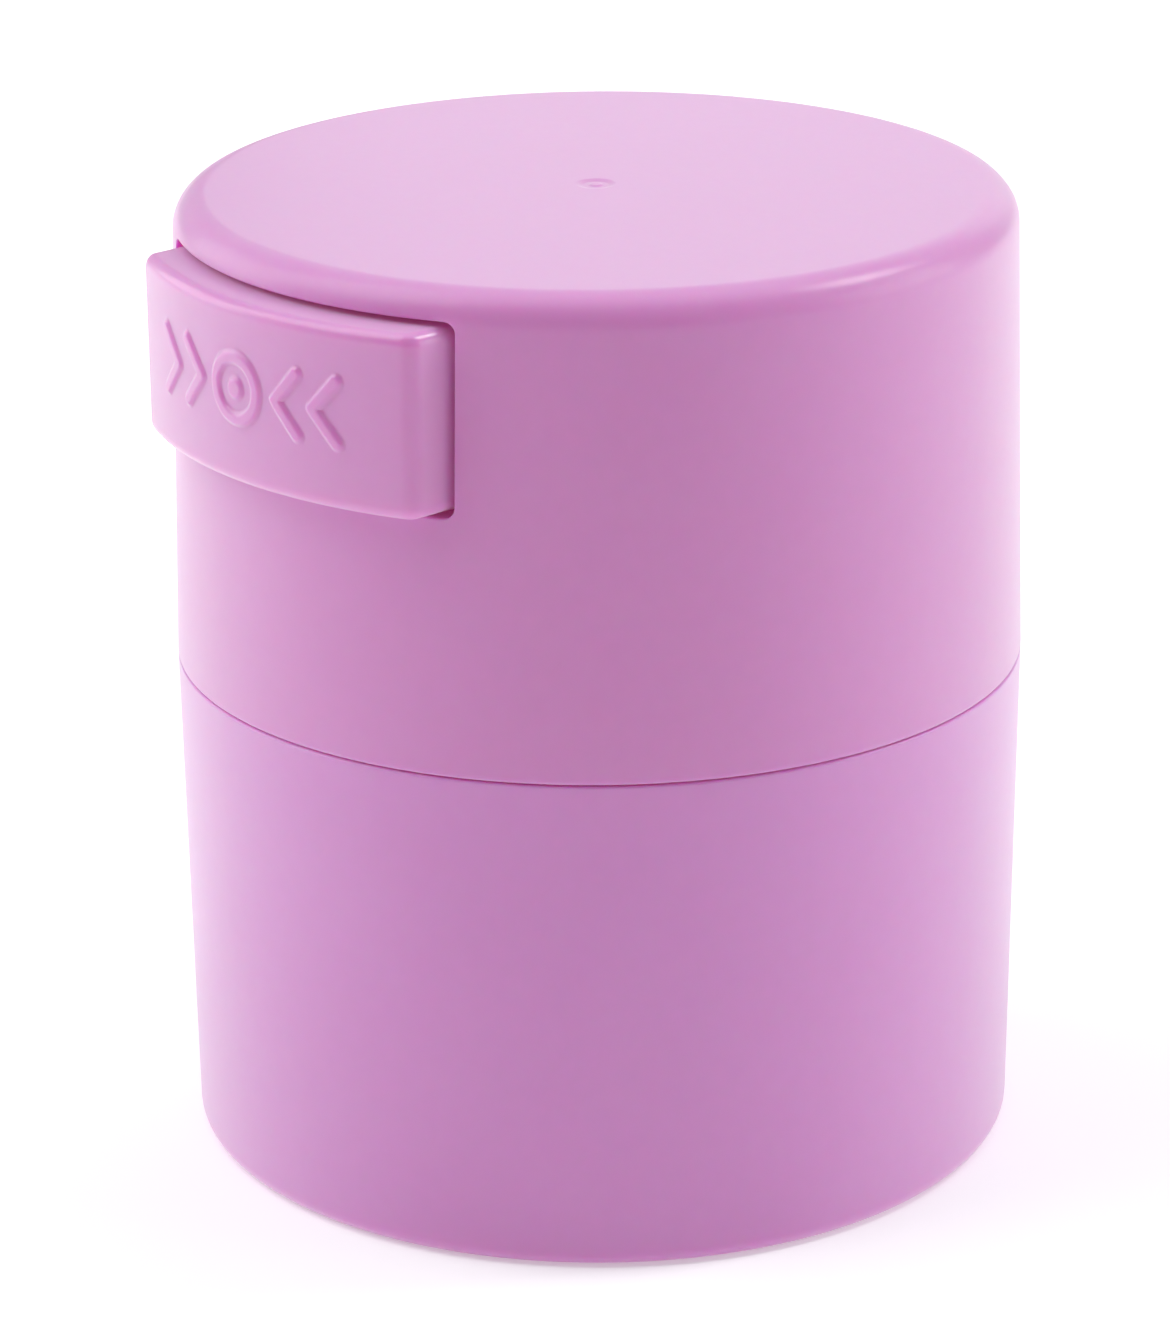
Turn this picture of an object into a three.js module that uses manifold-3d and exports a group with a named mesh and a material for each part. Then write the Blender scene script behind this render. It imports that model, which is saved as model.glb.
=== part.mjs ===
// Push-button airtight pill canister: a double-walled pot with a narrow neck, and a deep cap that
// telescopes over the neck. The cap is an outer shell with an inner liner. The liner carries a piston
// seal that slides in the pot's bore, and a vent tower whose port is closed by a sprung stopper.
// Pressing the button on the cap's side pushes the stopper off its seat and lets air in or out.
// Millimetres, +Z up. The origin is on the pot's axis at the level of the surface it stands on.
// The button faces -Y and is pressed towards +Y. "Depth" below is the distance along -Y from the axis.
import * as THREE from "three";
import { mergeVertices } from "three/addons/utils/BufferGeometryUtils.js";
import Module from "manifold-3d";

const wasm = await Module();
wasm.setup();

// ---------- driving dimensions ----------
const SEG = 72; // segments round the main axis
const H = 73.2; // overall height
const R_SEAM = 32.0; // outer radius at the seam between pot and cap
const R_BASE = 31.5; // outer radius at the pot's foot
const R_TOP = 31.25; // outer radius at the cap's top edge
const SEAM_POT = 37.8; // top of the pot's outer wall
const SEAM_CAP = 38.0; // lower edge of the cap's skirt
const FOOT_R = 1.2; // rounding under the pot
const RIM_R = 2.5; // rounding of the cap's top edge
const RECESS = 0.5; // the underside panel sits this far above the foot ring

const BORE_TOP = 27.8; // bore of the inner cup at its mouth
const BORE_FLOOR = 27.4; // and at its floor
const CUP_FLOOR = 4.3; // inner cup's floor, top face
const NECK_TOP = 55.0; // the mouth of the inner cup
const NECK_R = 29.4; // outer radius of the neck at its mouth

const CAP_UNDER = 71.2; // underside of the cap's top plate
const LINER_TOP = 57.0; // top face of the liner's ceiling
const LINER_UNDER = 55.4; // underside of the liner's ceiling
const PLUG_END = 50.0; // lower end of the liner's plug ring
const PLUG_R = 27.3; // the plug's flanges, which run inside the bore

const BTN_Z0 = 57.3, // button, bottom face
  BTN_Z1 = 70.7, // button, top face
  BTN_X = 15.15, // half the button's width
  BTN_R = 34.0, // radius of its curved face
  BTN_BACK = 24.6, // depth of the rear edge of its skirt
  BTN_WALL = 1.6,
  BTN_FACE_T = 2.0,
  BTN_EDGE = 0.9; // rounding of the edges round its face
const WIN_Z0 = 57.0,
  WIN_Z1 = 71.1,
  WIN_X = 15.65,
  WIN_R = 0.8; // the window in the skirt
const PORT_Z = 64.1; // height of the vent port and the stem
const PORT_R = 2.1;
const WALL_IN = 20.2,
  WALL_OUT = 22.0; // faces of the vent tower's front wall
const STEM_R = 1.3;
const SPRING_R = 3.82,
  WIRE_R = 0.275;

// ---------- helpers ----------
const V2 = (x, y) => new THREE.Vector2(x, y);

function solid(geometry) {
  const g = geometry.clone();
  g.deleteAttribute("normal");
  g.deleteAttribute("uv");
  const m = mergeVertices(g, 1e-4);
  const src = m.index.array;
  const tri = [];
  for (let i = 0; i < src.length; i += 3)
    if (src[i] !== src[i + 1] && src[i + 1] !== src[i + 2] && src[i] !== src[i + 2])
      tri.push(src[i], src[i + 1], src[i + 2]);
  const make = (t) =>
    new wasm.Manifold(
      new wasm.Mesh({
        numProp: 3,
        vertProperties: new Float32Array(m.attributes.position.array),
        triVerts: new Uint32Array(t),
      }),
    );
  const first = make(tri);
  if (first.volume() >= 0) return first;
  const flipped = [];
  for (let i = 0; i < tri.length; i += 3) flipped.push(tri[i], tri[i + 2], tri[i + 1]);
  return make(flipped);
}

function geometryOf(manifold) {
  const m = manifold.getMesh();
  const n = m.numProp;
  const v = new Float32Array(m.numVert * 3);
  for (let i = 0; i < m.numVert; i++) v.set(m.vertProperties.subarray(i * n, i * n + 3), i * 3);
  const g = new THREE.BufferGeometry();
  g.setAttribute("position", new THREE.BufferAttribute(v, 3));
  g.setIndex(new THREE.BufferAttribute(new Uint32Array(m.triVerts), 1));
  g.computeVertexNormals();
  return g;
}

// Points of an arc, centre (cx, cy), from a0 to a1 in degrees.
function arc(cx, cy, r, a0, a1, n) {
  const out = [];
  for (let i = 0; i <= n; i++) {
    const a = THREE.MathUtils.degToRad(a0 + ((a1 - a0) * i) / n);
    out.push([cx + r * Math.cos(a), cy + r * Math.sin(a)]);
  }
  return out;
}

// Turned about +Z: points are [radius, height].
function turned(points, segments = SEG) {
  const g = new THREE.LatheGeometry(points.map((p) => V2(p[0], p[1])), segments);
  g.rotateX(Math.PI / 2);
  return solid(g);
}

// Turned about the button's axis: points are [radius, depth].
function turnedOnStem(points, segments = 24) {
  const g = new THREE.LatheGeometry(points.map((p) => V2(p[0], p[1])), segments);
  g.rotateZ(Math.PI);
  g.translate(0, 0, PORT_Z);
  return solid(g);
}

function shapeOf(points) {
  return new THREE.Shape(points.map((p) => V2(p[0], p[1])));
}

// A front-view outline in X and Z, extruded from depth d0 to depth d1.
function frontExtrude(points, d0, d1, holes = []) {
  const s = shapeOf(points);
  for (const h of holes) s.holes.push(new THREE.Path(h.map((p) => V2(p[0], p[1]))));
  const g = new THREE.ExtrudeGeometry(s, { depth: d1 - d0, bevelEnabled: false, steps: 1 });
  g.translate(0, 0, d0);
  g.rotateX(Math.PI / 2);
  return solid(g);
}

// A plan outline in X and Y, extruded from z0 to z1.
function planExtrude(points, z0, z1) {
  const g = new THREE.ExtrudeGeometry(shapeOf(points), { depth: z1 - z0, bevelEnabled: false, steps: 1 });
  g.translate(0, 0, z0);
  return solid(g);
}

function roundedRect(x0, z0, x1, z1, r, n = 4) {
  return [
    ...arc(x1 - r, z0 + r, r, -90, 0, n),
    ...arc(x1 - r, z1 - r, r, 0, 90, n),
    ...arc(x0 + r, z1 - r, r, 90, 180, n),
    ...arc(x0 + r, z0 + r, r, 180, 270, n),
  ];
}

function box(x0, y0, z0, x1, y1, z1) {
  const g = new THREE.BoxGeometry(x1 - x0, y1 - y0, z1 - z0);
  g.translate((x0 + x1) / 2, (y0 + y1) / 2, (z0 + z1) / 2);
  return solid(g);
}

// ---------- materials ----------
const PINK = new THREE.Color().setRGB(0.82, 0.55, 0.78, THREE.SRGBColorSpace);
const pinkPlastic = (name) =>
  Object.assign(new THREE.MeshStandardMaterial({ color: PINK, roughness: 0.32, metalness: 0 }), { name });
const capPlastic = pinkPlastic("cap_plastic");
const potPlastic = pinkPlastic("pot_plastic");
const buttonPlastic = pinkPlastic("button_plastic");
const linerPlastic = pinkPlastic("liner_plastic");
const silicone = new THREE.MeshStandardMaterial({ name: "silicone", color: 0xe9e6e2, roughness: 0.5, metalness: 0 });
const acetal = new THREE.MeshStandardMaterial({ name: "acetal", color: 0xefeeea, roughness: 0.42, metalness: 0 });
const steel = new THREE.MeshStandardMaterial({ name: "spring_steel", color: 0xb9bbbd, roughness: 0.3, metalness: 1 });

const canister = new THREE.Group();
const pot = new THREE.Group();
const cap = new THREE.Group();
const buttonGroup = new THREE.Group();
canister.add(pot, cap);
cap.add(buttonGroup);

function add(group, name, manifold, material) {
  const mesh = new THREE.Mesh(geometryOf(manifold), material);
  mesh.name = name;
  group.add(mesh);
  return mesh;
}

// ---------- pot: outer shell ----------
{
  const slope = (R_SEAM - R_BASE) / SEAM_POT;
  const rAt = (z) => R_BASE + slope * z;
  const profile = [
    [0, RECESS],
    [26.0, RECESS],
    [26.5, 0],
    ...arc(R_BASE - FOOT_R, FOOT_R, FOOT_R, -90, 0, 5),
    [rAt(SEAM_POT - 0.15), SEAM_POT - 0.15],
    [rAt(SEAM_POT) - 0.15, SEAM_POT],
    [30.95, SEAM_POT],
    [30.95, 36.2],
    [30.0, 36.2],
    [29.5, 4.2],
    ...arc(27.7, 4.2, 1.8, 0, -90, 3).slice(1),
    [0, 2.4],
  ];
  add(pot, "pot_shell", turned(profile), potPlastic);
}

// ---------- pot: inner cup with the neck ----------
{
  const profile = [
    [0, 2.7],
    [27.3, 2.7],
    ...arc(27.3, 4.3, 1.6, -90, 0, 3).slice(1),
    [29.4, 36.4],
    [30.8, 36.4],
    [30.8, 37.75],
    [29.7, 37.75],
    [NECK_R, NECK_TOP - 0.7],
    ...arc(NECK_R - 0.7, NECK_TOP - 0.7, 0.7, 0, 90, 3).slice(1),
    ...arc(BORE_TOP + 0.5, NECK_TOP - 0.5, 0.5, 90, 180, 2),
    [BORE_FLOOR, CUP_FLOOR + 3.2],
    ...arc(BORE_FLOOR - 3.2, CUP_FLOOR + 3.2, 3.2, 0, -90, 4).slice(1),
    [0, CUP_FLOOR],
  ];
  add(pot, "inner_cup", turned(profile), potPlastic);
}

// ---------- cap: outer shell with the button's window ----------
{
  const profile = [
    // top face with the small gate mark at its centre
    [0, H - 0.03],
    [0.4, H - 0.04],
    [0.55, H - 0.12],
    [0.95, H - 0.12],
    [1.3, H],
    ...arc(R_TOP - RIM_R, H - RIM_R, RIM_R, 90, 0, 6),
    [R_SEAM, SEAM_CAP + 0.15],
    [R_SEAM - 0.15, SEAM_CAP],
    [30.5, SEAM_CAP],
    [30.2, SEAM_CAP + 0.6],
    [29.77, LINER_TOP],
    [29.45, CAP_UNDER - 0.9],
    [28.55, CAP_UNDER],
    [0, CAP_UNDER],
  ];
  let shell = turned(profile);
  // stop ribs that the liner is welded against
  for (const deg of [58, 98, 139, 180, -139, -98, -58]) {
    const g = new THREE.BoxGeometry(1.2, 1.5, CAP_UNDER + 0.2 - (LINER_TOP + 0.2));
    g.translate(0, -28.95, (CAP_UNDER + 0.2 + LINER_TOP + 0.2) / 2);
    g.rotateZ(THREE.MathUtils.degToRad(deg));
    shell = shell.add(solid(g));
  }
  // side guides behind the window
  for (const s of [-1, 1]) {
    const x0 = Math.min(s * (WIN_X - 0.2), s * (WIN_X + 1.4)),
      x1 = Math.max(s * (WIN_X - 0.2), s * (WIN_X + 1.4));
    shell = shell.add(box(x0, -25.6, LINER_TOP + 0.2, x1, -22.0, CAP_UNDER + 0.2));
  }
  shell = shell.subtract(frontExtrude(roundedRect(-WIN_X, WIN_Z0, WIN_X, WIN_Z1, WIN_R), 21, 40));
  add(cap, "cap_shell", shell, capPlastic);
}

// ---------- cap: liner with plug ring, seal groove and vent tower ----------
{
  const profile = [
    [0, LINER_TOP],
    [29.35, LINER_TOP],
    [29.5, LINER_TOP - 0.2],
    [29.5, LINER_UNDER + 0.1],
    [29.4, LINER_UNDER],
    [PLUG_R, LINER_UNDER],
    [PLUG_R, 54.6],
    [26.0, 54.6],
    [26.0, 51.3],
    [PLUG_R, 51.3],
    [PLUG_R, PLUG_END + 0.5],
    [PLUG_R - 0.5, PLUG_END],
    [24.9, PLUG_END],
    [24.6, PLUG_END + 0.3],
    [24.6, LINER_UNDER],
    [0, LINER_UNDER],
  ];
  let liner = turned(profile);
  const plan = (x, d0, d1, r) =>
    roundedRect(-x, -d1, x, -d0, r, 3); // outline in X and Y between two depths
  liner = liner.add(planExtrude(plan(7.5, 9.5, WALL_OUT, 1.2), LINER_UNDER + 0.2, 70.0));
  liner = liner.add(turnedOnStem([[0, 21.5], [3.2, 21.5], [3.2, 23.5], [2.95, 23.75], [0, 23.75]]));
  liner = liner.subtract(planExtrude(plan(6.0, 11.0, WALL_IN, 0.6), PLUG_END, 68.4));
  liner = liner.subtract(turnedOnStem([[0, 19.5], [PORT_R, 19.5], [PORT_R, 25], [0, 25]]));
  add(cap, "cap_liner", liner, linerPlastic);
}

// ---------- piston seal: a double-lipped silicone ring in the plug's groove ----------
{
  const profile = [
    [26.1, 51.45],
    [27.1, 51.45],
    [27.7, 51.75],
    [27.7, 52.15],
    [27.15, 52.65],
    [27.15, 53.25],
    [27.7, 53.75],
    [27.7, 54.15],
    [27.1, 54.45],
    [26.1, 54.45],
    [26.1, 51.45],
  ];
  add(cap, "piston_seal", turned(profile), silicone);
}

// ---------- button ----------
{
  const plan = (half, radius, edge, back) => {
    // plan outline: straight sides, rounded front corners, curved face
    const xc = half - edge,
      dc = Math.sqrt((radius - edge) ** 2 - xc ** 2);
    const tip = THREE.MathUtils.radToDeg(Math.atan2(dc, xc));
    const right = arc(xc, dc, edge, 0, tip, 4);
    const face = arc(0, 0, radius, tip, 180 - tip, 24).slice(1, -1);
    const left = right.map(([x, d]) => [-x, d]).reverse();
    return [[half, back], ...right, ...face, ...left, [-half, back]].map(([x, d]) => [x, -d]);
  };
  const disc = (radius, z0, z1, edge) => [
    [0, z0],
    ...arc(radius - edge, z0 + edge, edge, -90, 0, 4),
    ...arc(radius - edge, z1 - edge, edge, 0, 90, 4),
    [0, z1],
  ];
  let body = frontExtrude(roundedRect(-BTN_X, BTN_Z0, BTN_X, BTN_Z1, BTN_EDGE), BTN_BACK, 36)
    .intersect(planExtrude(plan(BTN_X, BTN_R + 0.02, BTN_EDGE, BTN_BACK - 1), BTN_Z0 - 1, BTN_Z1 + 1))
    .intersect(turned(disc(BTN_R, BTN_Z0, BTN_Z1, BTN_EDGE), 144));
  const w = BTN_WALL;
  const hollow = frontExtrude(
    roundedRect(-BTN_X + w, BTN_Z0 + w, BTN_X - w, BTN_Z1 - w, 0.5),
    BTN_BACK - 1,
    35,
  ).intersect(turned([[0, BTN_Z0], [BTN_R - BTN_FACE_T, BTN_Z0], [BTN_R - BTN_FACE_T, BTN_Z1], [0, BTN_Z1]], 72));
  body = body.subtract(hollow);
  // spring pad and stem boss on the back of the face
  body = body.add(turnedOnStem([[0, 31.4], [4.8, 31.4], [4.8, 32.6], [0, 32.6]]));
  body = body.add(turnedOnStem([[0, 26.6], [2.6, 26.6], [2.8, 26.8], [2.8, 32.6], [0, 32.6]]));
  body = body.subtract(turnedOnStem([[0, 26], [STEM_R + 0.06, 26], [STEM_R + 0.06, 31.0], [0, 31.0]]));
  // raised push symbol on the face: a ring and dot between two pairs of arrowheads
  const zc = 64.5,
    circle = (r, n) => arc(0, zc, r, 0, 360 - 360 / n, n - 1);
  const chevron = (x, dir) => {
    const t = 1.25, h = 2.7, d = 2.0;
    const p = [[x, zc - h], [x + t, zc - h], [x + t + d, zc], [x + t, zc + h], [x, zc + h], [x + d, zc]];
    return dir > 0 ? p : p.map(([a, b]) => [-a, b]).reverse();
  };
  const marks = [
    frontExtrude(circle(2.75, 24), 33, 36, [circle(1.75, 24).reverse()]),
    frontExtrude(circle(0.8, 16), 33, 36),
    frontExtrude(chevron(-6.9, 1), 32, 36),
    frontExtrude(chevron(-10.3, 1), 31.5, 36),
    frontExtrude(chevron(-6.9, -1), 32, 36),
    frontExtrude(chevron(-10.3, -1), 31.5, 36),
  ];
  const skin = turned([[0, 60], [BTN_R + 0.3, 60], [BTN_R + 0.3, 69], [0, 69]], 144).subtract(
    turned([[0, 59], [BTN_R - 0.5, 59], [BTN_R - 0.5, 70], [0, 70]], 144),
  );
  for (const m of marks) body = body.add(m.intersect(skin));
  add(buttonGroup, "press_button", body, buttonPlastic);
}

// ---------- valve stem with its head ----------
add(
  buttonGroup,
  "valve_stem",
  turnedOnStem([
    [0, 16.2],
    [1.9, 16.2],
    [2.2, 16.5],
    [2.2, 17.2],
    [STEM_R, 17.2],
    [STEM_R, 30.3],
    [STEM_R - 0.4, 30.7],
    [0, 30.7],
  ]),
  acetal,
);

// ---------- vent stopper: silicone washer on the stem, inside the tower ----------
add(
  buttonGroup,
  "vent_stopper",
  turnedOnStem([
    [STEM_R + 0.05, 17.3],
    [3.1, 17.3],
    [3.9, 18.3],
    [3.9, 19.6],
    [3.6, 20.05],
    [STEM_R + 0.05, 20.05],
    [STEM_R + 0.05, 17.3],
  ]),
  silicone,
);

// ---------- return spring ----------
{
  const d0 = WALL_OUT + WIRE_R + 0.1,
    d1 = 31.4 - WIRE_R - 0.1,
    turns = 7,
    closed = 0.62;
  const pitch = (d1 - d0 - 2 * closed) / (turns - 2);
  class Coil extends THREE.Curve {
    getPoint(t, target = new THREE.Vector3()) {
      const n = t * turns;
      const depth =
        n < 1 ? d0 + closed * n : n > turns - 1 ? d1 - closed * (turns - n) : d0 + closed + pitch * (n - 1);
      const a = 2 * Math.PI * n;
      return target.set(SPRING_R * Math.cos(a), -depth, PORT_Z + SPRING_R * Math.sin(a));
    }
  }
  const section = shapeOf(arc(0, 0, WIRE_R, 0, 300, 5));
  const g = new THREE.ExtrudeGeometry(section, { steps: 12 * turns, extrudePath: new Coil(), bevelEnabled: false });
  add(cap, "return_spring", solid(g), steel);
}

export default canister;
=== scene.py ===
"""Looks for the push-button airtight pill canister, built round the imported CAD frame.

Every shown piece is made here as a fine mesh at the CAD's own dimensions and stands for one CAD node:
pot shell, inner cup, cap shell with its button window, cap liner with plug ring and vent tower, piston
seal, press button with a raised mark, valve stem, vent stopper and return spring.
Lengths in the code are millimetres unless said otherwise; +Z is up and the button faces -Y.
"""
import math

import bmesh
import bpy
from mathutils import Matrix, Vector
from mathutils.geometry import delaunay_2d_cdt


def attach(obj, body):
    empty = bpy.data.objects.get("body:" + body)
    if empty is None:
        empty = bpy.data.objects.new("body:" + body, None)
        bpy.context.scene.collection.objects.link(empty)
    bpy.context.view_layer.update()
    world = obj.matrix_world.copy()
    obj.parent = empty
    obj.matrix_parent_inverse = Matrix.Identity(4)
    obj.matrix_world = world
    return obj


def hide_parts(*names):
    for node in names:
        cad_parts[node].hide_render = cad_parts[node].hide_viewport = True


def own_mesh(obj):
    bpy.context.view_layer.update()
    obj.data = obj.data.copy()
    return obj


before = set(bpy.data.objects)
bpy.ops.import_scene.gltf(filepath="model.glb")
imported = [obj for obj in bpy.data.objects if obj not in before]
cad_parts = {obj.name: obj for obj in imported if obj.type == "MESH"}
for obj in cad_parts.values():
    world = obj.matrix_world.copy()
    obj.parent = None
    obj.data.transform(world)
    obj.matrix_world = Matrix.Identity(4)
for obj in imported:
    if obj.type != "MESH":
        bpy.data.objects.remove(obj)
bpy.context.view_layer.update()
MM = 0.001
SEG = 256  # steps round the main axis

# ---------------------------------------------------------------- dimensions, as in the CAD
H = 73.2
R_SEAM, R_BASE, R_TOP = 32.0, 31.5, 31.25
SEAM_POT, SEAM_CAP = 37.8, 38.0
FOOT_R, RIM_R, RECESS = 1.2, 2.5, 0.5
BORE_TOP, BORE_FLOOR, CUP_FLOOR, NECK_TOP, NECK_R = 27.8, 27.4, 4.3, 55.0, 29.4
CAP_UNDER, LINER_TOP, LINER_UNDER, PLUG_END, PLUG_R = 71.2, 57.0, 55.4, 50.0, 27.3
BTN_Z0, BTN_Z1, BTN_X, BTN_R, BTN_BACK = 57.3, 70.7, 15.15, 34.0, 24.6
WIN_Z0, WIN_Z1, WIN_X, WIN_R = 57.0, 71.1, 15.65, 0.8
PORT_Z, PORT_R, WALL_IN, WALL_OUT, STEM_R = 64.1, 2.1, 20.2, 22.0, 1.3
SPRING_R, WIRE_R = 3.82, 0.275


# ---------------------------------------------------------------- mesh helpers
def finish_mesh(name, verts, faces, sharp=38.0, weld=2e-4):
    """A closed, welded, smooth-shaded object from millimetre vertices. Stops if the mesh isn't closed."""
    me = bpy.data.meshes.new(name)
    me.from_pydata([(x * MM, y * MM, z * MM) for x, y, z in verts], [], faces)
    bm = bmesh.new()
    bm.from_mesh(me)
    bmesh.ops.remove_doubles(bm, verts=bm.verts, dist=weld * MM)
    tidy(bm, name, sharp)
    bm.to_mesh(me)
    bm.free()
    me.name = name
    ob = bpy.data.objects.new(name, me)
    bpy.context.scene.collection.objects.link(ob)
    return ob


def tidy(bm, name, sharp):
    bmesh.ops.dissolve_degenerate(bm, edges=bm.edges, dist=1e-8)
    loose = [v for v in bm.verts if not v.link_faces]
    if loose:
        bmesh.ops.delete(bm, geom=loose, context="VERTS")
    bmesh.ops.recalc_face_normals(bm, faces=bm.faces)
    if bm.calc_volume(signed=True) < 0:
        bmesh.ops.reverse_faces(bm, faces=bm.faces)
    open_edges = sum(1 for e in bm.edges if len(e.link_faces) != 2)
    if open_edges:
        raise RuntimeError(f"{name}: {open_edges} edges aren't shared by two faces")
    for f in bm.faces:
        f.smooth = True
    limit = math.radians(sharp)
    for e in bm.edges:
        e.smooth = e.calc_face_angle(0.0) < limit


def arc(cx, cy, r, a0, a1, n):
    return [
        (cx + r * math.cos(math.radians(a0 + (a1 - a0) * i / n)), cy + r * math.sin(math.radians(a0 + (a1 - a0) * i / n)))
        for i in range(n + 1)
    ]


def rounded(points, closed=False, n=5, hold=0.07, longest=4.0):
    """A polyline whose corners are rounded. Points are (a, b) or (a, b, radius). A narrow strip beside each
    rounding keeps the flats flat, and long runs are split."""
    pts = [(p[0], p[1], p[2] if len(p) > 2 else 0.0) for p in points]
    m = len(pts)
    out = []
    for i, (x, y, r) in enumerate(pts):
        inner = closed or 0 < i < m - 1
        if r <= 0 or not inner:
            out.append((x, y))
            continue
        px, py, _ = pts[(i - 1) % m]
        qx, qy, _ = pts[(i + 1) % m]
        ax, ay, bx, by = px - x, py - y, qx - x, qy - y
        la, lb = math.hypot(ax, ay), math.hypot(bx, by)
        ax, ay, bx, by = ax / la, ay / la, bx / lb, by / lb
        angle = math.acos(max(-1.0, min(1.0, ax * bx + ay * by)))
        t = r / math.tan(angle / 2)
        cap = 0.49 * min(la, lb)
        if t > cap:
            t = cap
            r = t * math.tan(angle / 2)
        s = r / math.sin(angle / 2)
        cx, cy = ax + bx, ay + by
        cl = math.hypot(cx, cy)
        ox, oy = x + cx / cl * s, y + cy / cl * s
        x0, y0, x1, y1 = x + ax * t, y + ay * t, x + bx * t, y + by * t
        a0, a1 = math.atan2(y0 - oy, x0 - ox), math.atan2(y1 - oy, x1 - ox)
        while a1 - a0 > math.pi:
            a1 -= 2 * math.pi
        while a1 - a0 < -math.pi:
            a1 += 2 * math.pi
        if la - t > 3 * hold:
            out.append((x + ax * (t + hold), y + ay * (t + hold)))
        steps = max(2, round(n * abs(a1 - a0) / (math.pi / 2)))
        for k in range(steps + 1):
            a = a0 + (a1 - a0) * k / steps
            out.append((ox + r * math.cos(a), oy + r * math.sin(a)))
        if lb - t > 3 * hold:
            out.append((x + bx * (t + hold), y + by * (t + hold)))
    full = []
    count = len(out) if closed else len(out) - 1
    for i in range(count):
        (x0, y0), (x1, y1) = out[i], out[(i + 1) % len(out)]
        k = max(1, math.ceil(math.hypot(x1 - x0, y1 - y0) / longest))
        full += [(x0 + (x1 - x0) * j / k, y0 + (y1 - y0) * j / k) for j in range(k)]
    if not closed:
        full.append(out[-1])
    return full


def revolve(profile, closed, place, seg, angles=None):
    """Vertices and faces of a turned solid. profile is (radius, along); place(radius, along, angle) gives the point."""
    verts, rings = [], []
    for r, h in profile:
        if r < 1e-6:
            rings.append([len(verts)])
            verts.append(place(0.0, h, 0.0))
        else:
            rings.append(list(range(len(verts), len(verts) + seg)))
            th = angles(r) if angles else [2 * math.pi * k / seg for k in range(seg)]
            verts += [place(r, h, t) for t in th]
    faces = []
    pairs = list(zip(rings, rings[1:])) + ([(rings[-1], rings[0])] if closed else [])
    for a, b in pairs:
        for k in range(seg):
            k2 = (k + 1) % seg
            if len(a) == 1 and len(b) == 1:
                continue
            if len(a) == 1:
                faces.append((a[0], b[k], b[k2]))
            elif len(b) == 1:
                faces.append((a[k], b[0], a[k2]))
            else:
                faces.append((a[k], b[k], b[k2], a[k2]))
    return verts, faces, rings


def on_axis(r, h, t):
    return (r * math.sin(t), -r * math.cos(t), h)


def on_stem(r, depth, t):
    return (r * math.cos(t), -depth, PORT_Z + r * math.sin(t))


def turned(name, profile, closed=False, seg=SEG, place=on_axis, sharp=38.0):
    v, f, _ = revolve(profile, closed, place, seg)
    return finish_mesh(name, v, f, sharp)


def prism(name, outline, low, high, plane="xy", bevel=0.0):
    """A closed prism. plane xy: outline is x, y and it rises in z. plane xz: outline is x, z and it runs in depth."""
    n = len(outline)
    levels = [low, high]
    rings = [outline, outline]
    verts = []
    for ring, level in zip(rings, levels):
        for a, b in ring:
            verts.append((a, b, level) if plane == "xy" else (a, -level, b))
    faces = [tuple(range(n)), tuple(range(n, 2 * n))]
    faces += [(k, (k + 1) % n, n + (k + 1) % n, n + k) for k in range(n)]
    ob = finish_mesh(name, verts, faces)
    if bevel:
        bm = bmesh.new()
        bm.from_mesh(ob.data)
        top = [
            e
            for e in bm.edges
            if all(abs((v.co.z if plane == "xy" else -v.co.y) - high * MM) < 1e-7 for v in e.verts)
        ]
        bmesh.ops.bevel(bm, geom=top, offset=bevel * MM, segments=3, profile=0.5, affect="EDGES")
        tidy(bm, name, 38.0)
        bm.to_mesh(ob.data)
        bm.free()
    return ob


def boolean(target, tool, operation):
    mod = target.modifiers.new("cut", "BOOLEAN")
    mod.operation = operation
    mod.solver = "EXACT"
    mod.object = tool
    dg = bpy.context.evaluated_depsgraph_get()
    made = bpy.data.meshes.new_from_object(target.evaluated_get(dg))
    target.modifiers.clear()
    old = target.data
    target.data = made
    made.name = target.name
    bpy.data.meshes.remove(old)
    bpy.data.objects.remove(tool)
    return target


def after_booleans(ob, sharp=30.0):
    bm = bmesh.new()
    bm.from_mesh(ob.data)
    bmesh.ops.remove_doubles(bm, verts=bm.verts, dist=3e-7)
    tidy(bm, ob.name, sharp)
    bm.to_mesh(ob.data)
    bm.free()
    return ob


def rounded_rect(x0, z0, x1, z1, r, n=6):
    return (
        arc(x1 - r, z0 + r, r, -90, 0, n)
        + arc(x1 - r, z1 - r, r, 0, 90, n)
        + arc(x0 + r, z1 - r, r, 90, 180, n)
        + arc(x0 + r, z0 + r, r, 180, 270, n)
    )


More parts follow.
